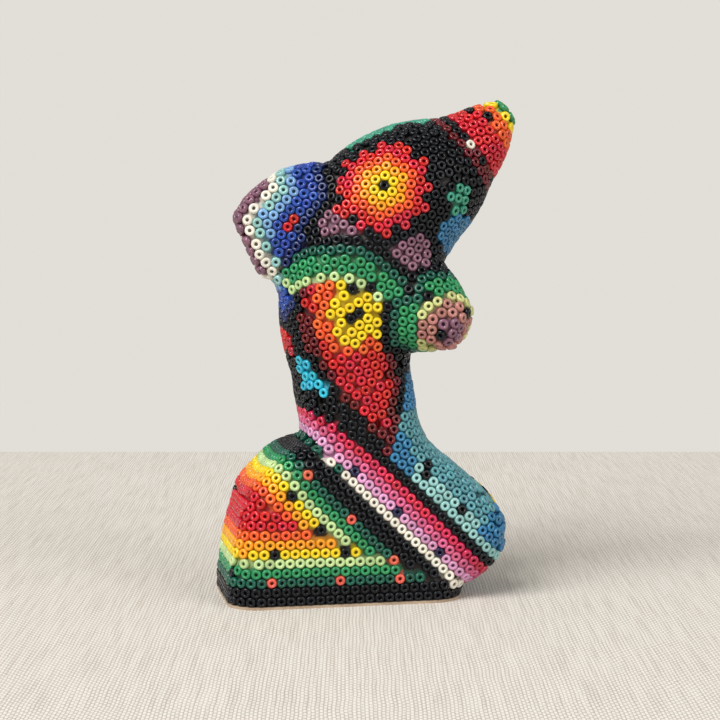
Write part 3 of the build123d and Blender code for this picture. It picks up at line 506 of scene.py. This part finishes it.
@dataclass
class BeadPattern:
    """The seed bead's shape, in metres and degrees: a short tube with well rounded ends."""

    diameter: float = 2.12 * MM
    hole: float = 0.62 * MM
    length: float = 1.30 * MM
    sides: int = 18                         # corners round the bead
    rim: int = 10                           # corners round the cut through one wall
    squareness: float = 2.7                 # 2 is a round cut, and more is squarer
    fill: float = 1.01                      # width for the room that a bead has
    snug: float = 1.03                      # least and greatest width, in diameters
    roomiest: float = 1.14
    smaller: float = 0.02                   # how much smaller and shorter a bead may chance to be
    shorter: float = 0.10
    tilt: float = 5.0                       # how far a bead may lean
    lean: float = 0.45                      # the usual share of that lean
    margin: float = 0.06                    # edge of a bead's cell of the flat map

    def outline(self) -> np.ndarray:
        """The cut through one wall: (rim, 2) radii and heights, counter-clockwise from the outer side."""
        turn = np.arange(self.rim) / self.rim * 2 * np.pi
        power = 2 / self.squareness
        middle = (self.diameter + self.hole) / 4
        wall = (self.diameter - self.hole) / 4
        radii = middle + wall * np.sign(np.cos(turn)) * np.abs(np.cos(turn)) ** power
        heights = self.length / 2 * np.sign(np.sin(turn)) * np.abs(np.sin(turn)) ** power
        return np.stack([radii, heights], 1)

    def shape(self) -> tuple[np.ndarray, np.ndarray, np.ndarray]:
        """One bead.

        Returns:
            Its vertices, its four-cornered faces, and each face corner's place on a unit square.
        """
        outline = self.outline()
        turn = np.arange(self.sides) / self.sides * 2 * np.pi
        radii, heights = outline.T
        points = np.stack([radii * np.cos(turn)[:, None], radii * np.sin(turn)[:, None],
                           np.broadcast_to(heights, (self.sides, self.rim))], -1).reshape(-1, 3)
        side, row = np.meshgrid(np.arange(self.sides), np.arange(self.rim), indexing="ij")
        corners = [((side + ds) % self.sides) * self.rim + (row + dr) % self.rim
                   for ds, dr in ((0, 0), (1, 0), (1, 1), (0, 1))]
        faces = np.stack(corners, -1).reshape(-1, 4)
        flat = np.stack([np.stack([(side + ds) / self.sides, (row + dr) / self.rim], -1)
                         for ds, dr in ((0, 0), (1, 0), (1, 1), (0, 1))], 2).reshape(-1, 4, 2)
        return points, faces, flat

    def string(self, name: str, places: BeadPlaces, dice: np.random.Generator) -> bpy.types.Object:
        """Makes all the beads of one piece as one mesh.

        Args:
            name: the new piece's name.
            places: where the beads stand.
            dice: the source of the small differences from bead to bead.

        Returns:
            The new object, with the attributes that the glass reads.
        """
        points, faces, flat = self.shape()
        count = len(places.middles)
        wide = np.clip(self.fill * places.room[:, None] / self.diameter, self.snug, self.roomiest)
        wide = wide - self.smaller * dice.random((count, 1))
        tall = 1 - self.shorter * dice.random((count, 1))
        axes = places.outward + np.radians(self.tilt) * dice.normal(0, self.lean, (count, 3)).clip(-1, 1)
        axes /= np.linalg.norm(axes, axis=1, keepdims=True)
        across = np.cross(axes, dice.normal(size=(count, 3)))
        across /= np.linalg.norm(across, axis=1, keepdims=True)
        beside = np.cross(axes, across)
        where = (places.middles[:, None] + points[None, :, 0, None] * (across * wide)[:, None]
                 + points[None, :, 1, None] * (beside * wide)[:, None]
                 + points[None, :, 2, None] * (axes * tall)[:, None])
        mesh = bpy.data.meshes.new(name)
        corners = (faces[None] + (np.arange(count) * len(points))[:, None, None]).reshape(-1, 4)
        mesh.vertices.add(count * len(points))
        mesh.vertices.foreach_set("co", where.astype(np.float32).ravel())
        mesh.loops.add(corners.size)
        mesh.loops.foreach_set("vertex_index", corners.astype(np.int32).ravel())
        mesh.polygons.add(len(corners))
        mesh.polygons.foreach_set("loop_start", np.arange(0, corners.size, 4, dtype=np.int32))
        mesh.polygons.foreach_set("use_smooth", np.ones(len(corners), bool))
        mesh.update(calc_edges=True)
        self._mark(mesh, points, count, dice)
        self._lay_out(mesh, flat, count)
        piece = bpy.data.objects.new(name, mesh)
        bpy.context.scene.collection.objects.link(piece)
        return piece

    def _mark(self, mesh: bpy.types.Mesh, points: np.ndarray, count: int, dice: np.random.Generator) -> None:
        """Writes each bead's own chances, and where its hole and foot are, as mesh attributes.

        Args:
            mesh: the beads' mesh.
            points: one bead's vertices.
            count: how many beads the mesh holds.
            dice: the source of the chances.
        """
        radius = np.hypot(points[:, 0], points[:, 1])
        middle = (self.diameter + self.hole) / 4
        wall = (self.diameter - self.hole) / 4
        hole = ((middle - radius) / wall).clip(0, 1) ** 1.5
        foot = 0.5 - points[:, 2] / self.length
        for name, values in (("bead_lot", np.repeat(dice.random(count), len(points))),
                             ("bead_cast", np.repeat(dice.random(count), len(points))),
                             ("bead_hole", np.tile(hole, count)), ("bead_foot", np.tile(foot, count))):
            mesh.attributes.new(name, "FLOAT", "POINT").data.foreach_set("value", values.astype(np.float32))

    def _lay_out(self, mesh: bpy.types.Mesh, flat: np.ndarray, count: int) -> None:
        """Gives every bead its own cell of the flat map.

        Args:
            mesh: the beads' mesh.
            flat: one bead's face corners on a unit square.
            count: how many beads the mesh holds.
        """
        cells = math.ceil(math.sqrt(count))
        corner = np.stack([np.arange(count) % cells, np.arange(count) // cells], 1)
        places = (corner[:, None, None] + self.margin + (1 - 2 * self.margin) * flat[None]) / cells
        mesh.uv_layers.new(name="OFBake").data.foreach_set("uv", places.astype(np.float32).ravel())


class Beadwork:
    """All the glass beads, one piece for each batch of colour."""

    def __init__(self, wax: bpy.types.Object) -> None:
        """Takes the CAD wax, which tells which way is out."""
        self.pattern = BeadPattern()
        self.dice = np.random.default_rng(SEED)
        mesh = wax.data
        self.surface = BVHTree.FromPolygons([vertex.co for vertex in mesh.vertices],
                                            [face.vertices for face in mesh.polygons])
        self.neighbours = 3
        self.places: list[BeadPlaces] = []
        self.materials = {slot: finish.material() for slot, finish in GLASS.items()}

    def read(self, node: bpy.types.Object) -> BeadPlaces:
        """Finds the beads of one CAD piece.

        Args:
            node: the CAD object.

        Returns:
            The beads' middles and outward directions.
        """
        points, part = loose_parts(node.data)
        node.data.calc_loop_triangles()
        triangles = np.empty(len(node.data.loop_triangles) * 3, np.int64)
        node.data.loop_triangles.foreach_get("vertices", triangles)
        triangles = triangles.reshape(-1, 3)
        owner = part[triangles[:, 0]]
        start = np.zeros((part.max() + 1, 3))
        start[part] = points
        corners = points[triangles] - start[owner][:, None]
        volumes = np.einsum("ij,ij->i", corners[:, 0], np.cross(corners[:, 1], corners[:, 2])) / 6
        whole = np.bincount(owner, volumes)
        sums = corners.sum(1)
        middles = np.stack([np.bincount(owner, volumes * sums[:, k] / 4) / whole for k in range(3)], 1)
        spans = np.empty((len(whole), 3, 3))
        for i in range(3):
            for j in range(3):
                pairs = (corners[:, :, i] * corners[:, :, j]).sum(1) + sums[:, i] * sums[:, j]
                mean = np.bincount(owner, volumes * pairs / 20) / whole
                spans[:, i, j] = mean - middles[:, i] * middles[:, j]
        middles += start
        axes = np.linalg.eigh(spans)[1][:, :, 0]
        for k, middle in enumerate(middles):
            nearest = self.surface.find_nearest(Vector(middle))[0]
            if np.dot(axes[k], middle - np.array(nearest)) < 0:
                axes[k] *= -1
        return BeadPlaces(middles, axes, np.full(len(middles), self.pattern.diameter))

    def share_room(self) -> None:
        """Notes how much room each bead has, so that a larger bead goes where its neighbours stand off."""
        middles = np.concatenate([places.middles for places in self.places])
        tree = KDTree(len(middles))
        for number, middle in enumerate(middles):
            tree.insert(middle, number)
        tree.balance()
        for places in self.places:
            for number, middle in enumerate(places.middles):
                spans = [found[2] for found in tree.find_n(middle, self.neighbours + 1)[1:]]
                places.room[number] = np.mean(spans)

    def build(self) -> list[bpy.types.Object]:
        """Makes and dresses every batch of beads."""
        made = []
        batches = [(part["node"], part["material_slot"]) for part in frame["record"]["subparts"]
                   if part["node"].endswith("_beads")]
        self.places = [self.read(frame["nodes"][name]) for name, _ in batches]
        self.share_room()
        for (name, slot), places in zip(batches, self.places):
            places.colour = GLASS[slot].colour
            piece = self.pattern.string(name.replace("_beads", "_glass"), places, self.dice)
            piece.data.materials.append(self.materials[slot])
            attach(piece, "root")
            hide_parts(name)
            log.info("%s: %d beads", piece.name, len(places.middles))
            made.append(piece)
        return made


# ---------------------------------------------------------------- wax, wood and board
@dataclass
class WaxCoat:
    """The wax between the beads: the CAD coat, pressed up round every bead, in metres."""

    node: str = "wax_coat"
    pad_sides: int = 6
    pad_radius: float = 1.30 * MM
    pad_top: float = -0.50 * MM             # from the bead's middle, outwards
    pad_foot: float = -1.25 * MM
    grid: float = 0.42 * MM
    smoothing: int = 3
    softness: float = 0.5

    def _pads(self, places: BeadPlaces) -> tuple[np.ndarray, np.ndarray]:
        """A many-sided pad of wax under every bead.

        Args:
            places: where the beads stand.

        Returns:
            The pads' vertices and their triangles.
        """
        axes = places.outward
        across = np.cross(axes, np.where(np.abs(axes[:, 2:]) < 0.9, (0.0, 0.0, 1.0), (1.0, 0.0, 0.0)))
        across /= np.linalg.norm(across, axis=1, keepdims=True)
        beside = np.cross(axes, across)
        sides = self.pad_sides
        turn = np.arange(sides) / sides * 2 * np.pi
        ring = np.cos(turn)[None, :, None] * across[:, None] + np.sin(turn)[None, :, None] * beside[:, None]
        levels = [places.middles[:, None] + self.pad_radius * ring + height * axes[:, None]
                  for height in (self.pad_foot, self.pad_top)]
        points = np.concatenate(levels, 1)
        faces = [(0, k + 1, k) for k in range(1, sides - 1)]
        faces += [(sides, sides + k, sides + k + 1) for k in range(1, sides - 1)]
        for k in range(sides):
            after = (k + 1) % sides
            faces += [(k, after, sides + after), (k, sides + after, sides + k)]
        faces = np.array(faces)[None] + (np.arange(len(axes)) * 2 * sides)[:, None, None]
        return points.reshape(-1, 3), faces.reshape(-1, 3)

    def _paint_glass_light(self, mesh: bpy.types.Mesh, beads: list[BeadPlaces]) -> None:
        """Paints onto the wax the coloured light that comes through the nearest bead.

        Args:
            mesh: the wax mesh.
            beads: where all the beads stand, and their colours.
        """
        tree = KDTree(sum(len(places.middles) for places in beads))
        colours = []
        for places in beads:
            for middle in places.middles:
                tree.insert(middle, len(colours))
                colours.append(places.colour)
        tree.balance()
        # Painted light: each wax vertex takes the colour of the nearest bead.
        painted_bead_light = np.ones((len(mesh.vertices), 4), np.float32)
        for number, vertex in enumerate(mesh.vertices):
            painted_bead_light[number, :3] = colours[tree.find(vertex.co)[1]]
        layer = mesh.attributes.new("painted_glass_light", "FLOAT_COLOR", "POINT")
        layer.data.foreach_set("color", painted_bead_light.ravel())

    def _rough(self, beads: list[BeadPlaces]) -> bpy.types.Mesh:
        """The CAD coat and all the pads, not yet one skin.

        Args:
            beads: where all the beads stand.

        Returns:
            The rough mesh.
        """
        cad = frame["nodes"][self.node].data
        points = [np.array([v.co for v in cad.vertices])]
        faces = [tuple(p.vertices) for p in cad.polygons]
        start = len(points[0])
        for places in beads:
            pad_points, pad_faces = self._pads(places)
            points.append(pad_points)
            faces += [tuple(face) for face in (pad_faces + start).tolist()]
            start += len(pad_points)
        rough = bpy.data.meshes.new("wax rough")
        rough.from_pydata(np.concatenate(points).tolist(), [], faces)
        return rough

    def _skin(self, rough: bpy.types.Mesh) -> bpy.types.Mesh:
        """One smooth closed skin round a rough mesh, which is used up.

        Args:
            rough: the rough mesh.

        Returns:
            The skin's mesh.
        """
        helper = bpy.data.objects.new("wax rough", rough)
        bpy.context.scene.collection.objects.link(helper)
        cover = helper.modifiers.new("skin", "REMESH")
        cover.mode = "VOXEL"
        cover.voxel_size = self.grid
        cover.use_smooth_shade = True
        ease = helper.modifiers.new("ease", "SMOOTH")
        ease.factor = self.softness
        ease.iterations = self.smoothing
        shown = helper.evaluated_get(bpy.context.evaluated_depsgraph_get())
        mesh = bpy.data.meshes.new_from_object(shown)
        mesh.name = "beeswax"
        bpy.data.objects.remove(helper)
        bpy.data.meshes.remove(rough)
        return mesh

    def build(self, beads: list[BeadPlaces]) -> bpy.types.Object:
        """Makes and dresses the wax.

        Args:
            beads: where all the beads stand, and their colours.

        Returns:
            The wax object.
        """
        mesh = self._skin(self._rough(beads))
        self._paint_glass_light(mesh, beads)
        piece = bpy.data.objects.new("beeswax", mesh)
        bpy.context.scene.collection.objects.link(piece)
        mesh.materials.clear()
        mesh.materials.append(WaxFinish().material())
        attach(piece, "root")
        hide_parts(self.node)
        log.info("beeswax: %d faces", len(mesh.polygons))
        return piece


class Woodwork:
    """The carved cores and the board, which keep their CAD shapes."""

    def dress(self) -> None:
        """Gives the wooden pieces their finishes."""
        carved, board = Stock.CARVED.material(), Stock.BOARD.material()
        for part in frame["record"]["subparts"]:
            name = part["node"]
            if not name.endswith(("_core", "_board")):
                continue
            node = frame["nodes"][name]
            node.data.materials.clear()
            node.data.materials.append(carved if name.endswith("_core") else board)
            log.info("%s: dressed", name)


# ---------------------------------------------------------------- studio
@dataclass(frozen=True)
class Lamp:
    """A square soft light aimed at the figure, in metres and watts."""

    name: str
    place: tuple[float, float, float]
    size: float
    power: float
    tint: Colour


@dataclass
class Studio:
    """The table, the lights and the camera, in metres and degrees."""

    aim: tuple[float, float, float] = (4.0 * MM, 0.0, 52.0 * MM)
    azimuth: float = -11.0
    elevation: float = 5.5
    distance: float = 427.0 * MM
    lens: float = 95.25
    sensor: float = 36.0                    # this and the lens in millimetres
    shift: tuple[float, float] = (0.0076389, 0.0041667)
    near_clip: float = 0.01
    far_clip: float = 20.0
    table_back: float = 0.235
    table_reach: float = 1.6
    table_middle: float = 0.4
    table_drop: float = 0.5
    edge_radius: float = 12.0 * MM
    edge_steps: int = 4
    wall: Colour = (0.76, 0.735, 0.69)
    room_light: float = 0.48
    lamps: tuple[Lamp, ...] = (
        Lamp("window", (-1.30, -1.05, 1.80), 1.50, 62.0, (1.0, 0.985, 0.96)),
        Lamp("room", (1.60, -1.90, 1.20), 1.60, 22.0, (1.0, 0.985, 0.97)))

    def _back(self) -> Vector:
        """The direction from the figure to the camera.

        Returns:
            A vector one long.
        """
        turn, rise = math.radians(self.azimuth), math.radians(self.elevation)
        return Vector((math.sin(turn) * math.cos(rise), -math.cos(turn) * math.cos(rise), math.sin(rise)))

    def table(self) -> bpy.types.Object:
        """A cloth-covered table whose back edge lies across the view.

        Returns:
            The table object.
        """
        radius = self.edge_radius
        flat_end = self.table_back - radius
        profile = [(-self.table_reach, 0.0), (-self.table_middle, 0.0), (0.0, 0.0), (flat_end, 0.0)]
        for step in range(1, self.edge_steps + 1):
            angle = math.radians(90.0 * step / self.edge_steps)
            profile.append((flat_end + radius * math.sin(angle), radius * math.cos(angle) - radius))
        profile.append((self.table_back, -self.table_drop))
        points = [(side * self.table_reach, y, z) for side in (-1, 1) for y, z in profile]
        count = len(profile)
        faces = [(k, k + count, k + 1 + count, k + 1) for k in range(count - 1)]
        mesh = bpy.data.meshes.new("table cloth")
        mesh.from_pydata(points, [], faces)
        mesh.update()
        cloth = bpy.data.objects.new("table_cloth", mesh)
        cloth.matrix_world = Matrix.Rotation(math.radians(self.azimuth), 4, "Z")
        bpy.context.scene.collection.objects.link(cloth)
        mesh.materials.append(LinenFinish().material())
        return cloth

    def light(self, lamp: Lamp) -> None:
        """Adds one light.

        Args:
            lamp: the light to add.
        """
        data = bpy.data.lights.new(lamp.name, "AREA")
        data.shape = "SQUARE"
        data.size = lamp.size
        data.energy = lamp.power
        data.color = lamp.tint
        made = bpy.data.objects.new(lamp.name, data)
        bpy.context.scene.collection.objects.link(made)
        made.location = lamp.place
        made.rotation_mode = "QUATERNION"
        made.rotation_quaternion = (Vector(self.aim) - Vector(lamp.place)).to_track_quat("-Z", "Y")

    def surroundings(self) -> None:
        """A plain wall for the camera, and a dimmer room light for everything else."""
        world = bpy.data.worlds.new("room")
        bpy.context.scene.world = world
        world.use_nodes = True
        sheet = Sheet(world.node_tree)
        wall = world.node_tree.nodes["Background"]
        wall.inputs["Color"].default_value = solid(self.wall)
        room = sheet.node("Background", Color=solid(self.wall), Strength=self.room_light)
        seen = sheet.node("LightPath").outputs["Is Camera Ray"]
        chosen = sheet.node("MixShader", Fac=seen)
        sheet.wire(room.outputs[0], chosen.inputs[1])
        sheet.wire(wall.outputs[0], chosen.inputs[2])
        sheet.wire(chosen.outputs[0], world.node_tree.nodes["World Output"].inputs["Surface"])

    def camera(self) -> None:
        """The camera, looking at the figure."""
        data = bpy.data.cameras.new("camera")
        camera = bpy.data.objects.new("camera", data)
        bpy.context.scene.collection.objects.link(camera)
        data.sensor_width = self.sensor
        data.lens = self.lens
        data.shift_x, data.shift_y = self.shift
        data.clip_start = self.near_clip
        data.clip_end = self.far_clip
        camera.location = Vector(self.aim) + self.distance * self._back()
        camera.rotation_mode = "QUATERNION"
        camera.rotation_quaternion = (-self._back()).to_track_quat("-Z", "Y")
        bpy.context.scene.camera = camera

    def build(self) -> None:
        """Sets out the table, lights, surroundings and camera."""
        self.table()
        for lamp in self.lamps:
            self.light(lamp)
        bpy.context.scene.view_settings.view_transform = "Standard"
        self.surroundings()
        self.camera()
        log.info("studio: table, two lights and camera")


def main() -> None:
    """Builds and dresses the figure and the studio."""
    logging.basicConfig(level=logging.INFO, format="%(name)s: %(message)s")
    beadwork = Beadwork(frame["nodes"]["wax_coat"])
    beadwork.build()
    WaxCoat().build(beadwork.places)
    Woodwork().dress()
    Studio().build()


if __name__ == "__main__":
    main()
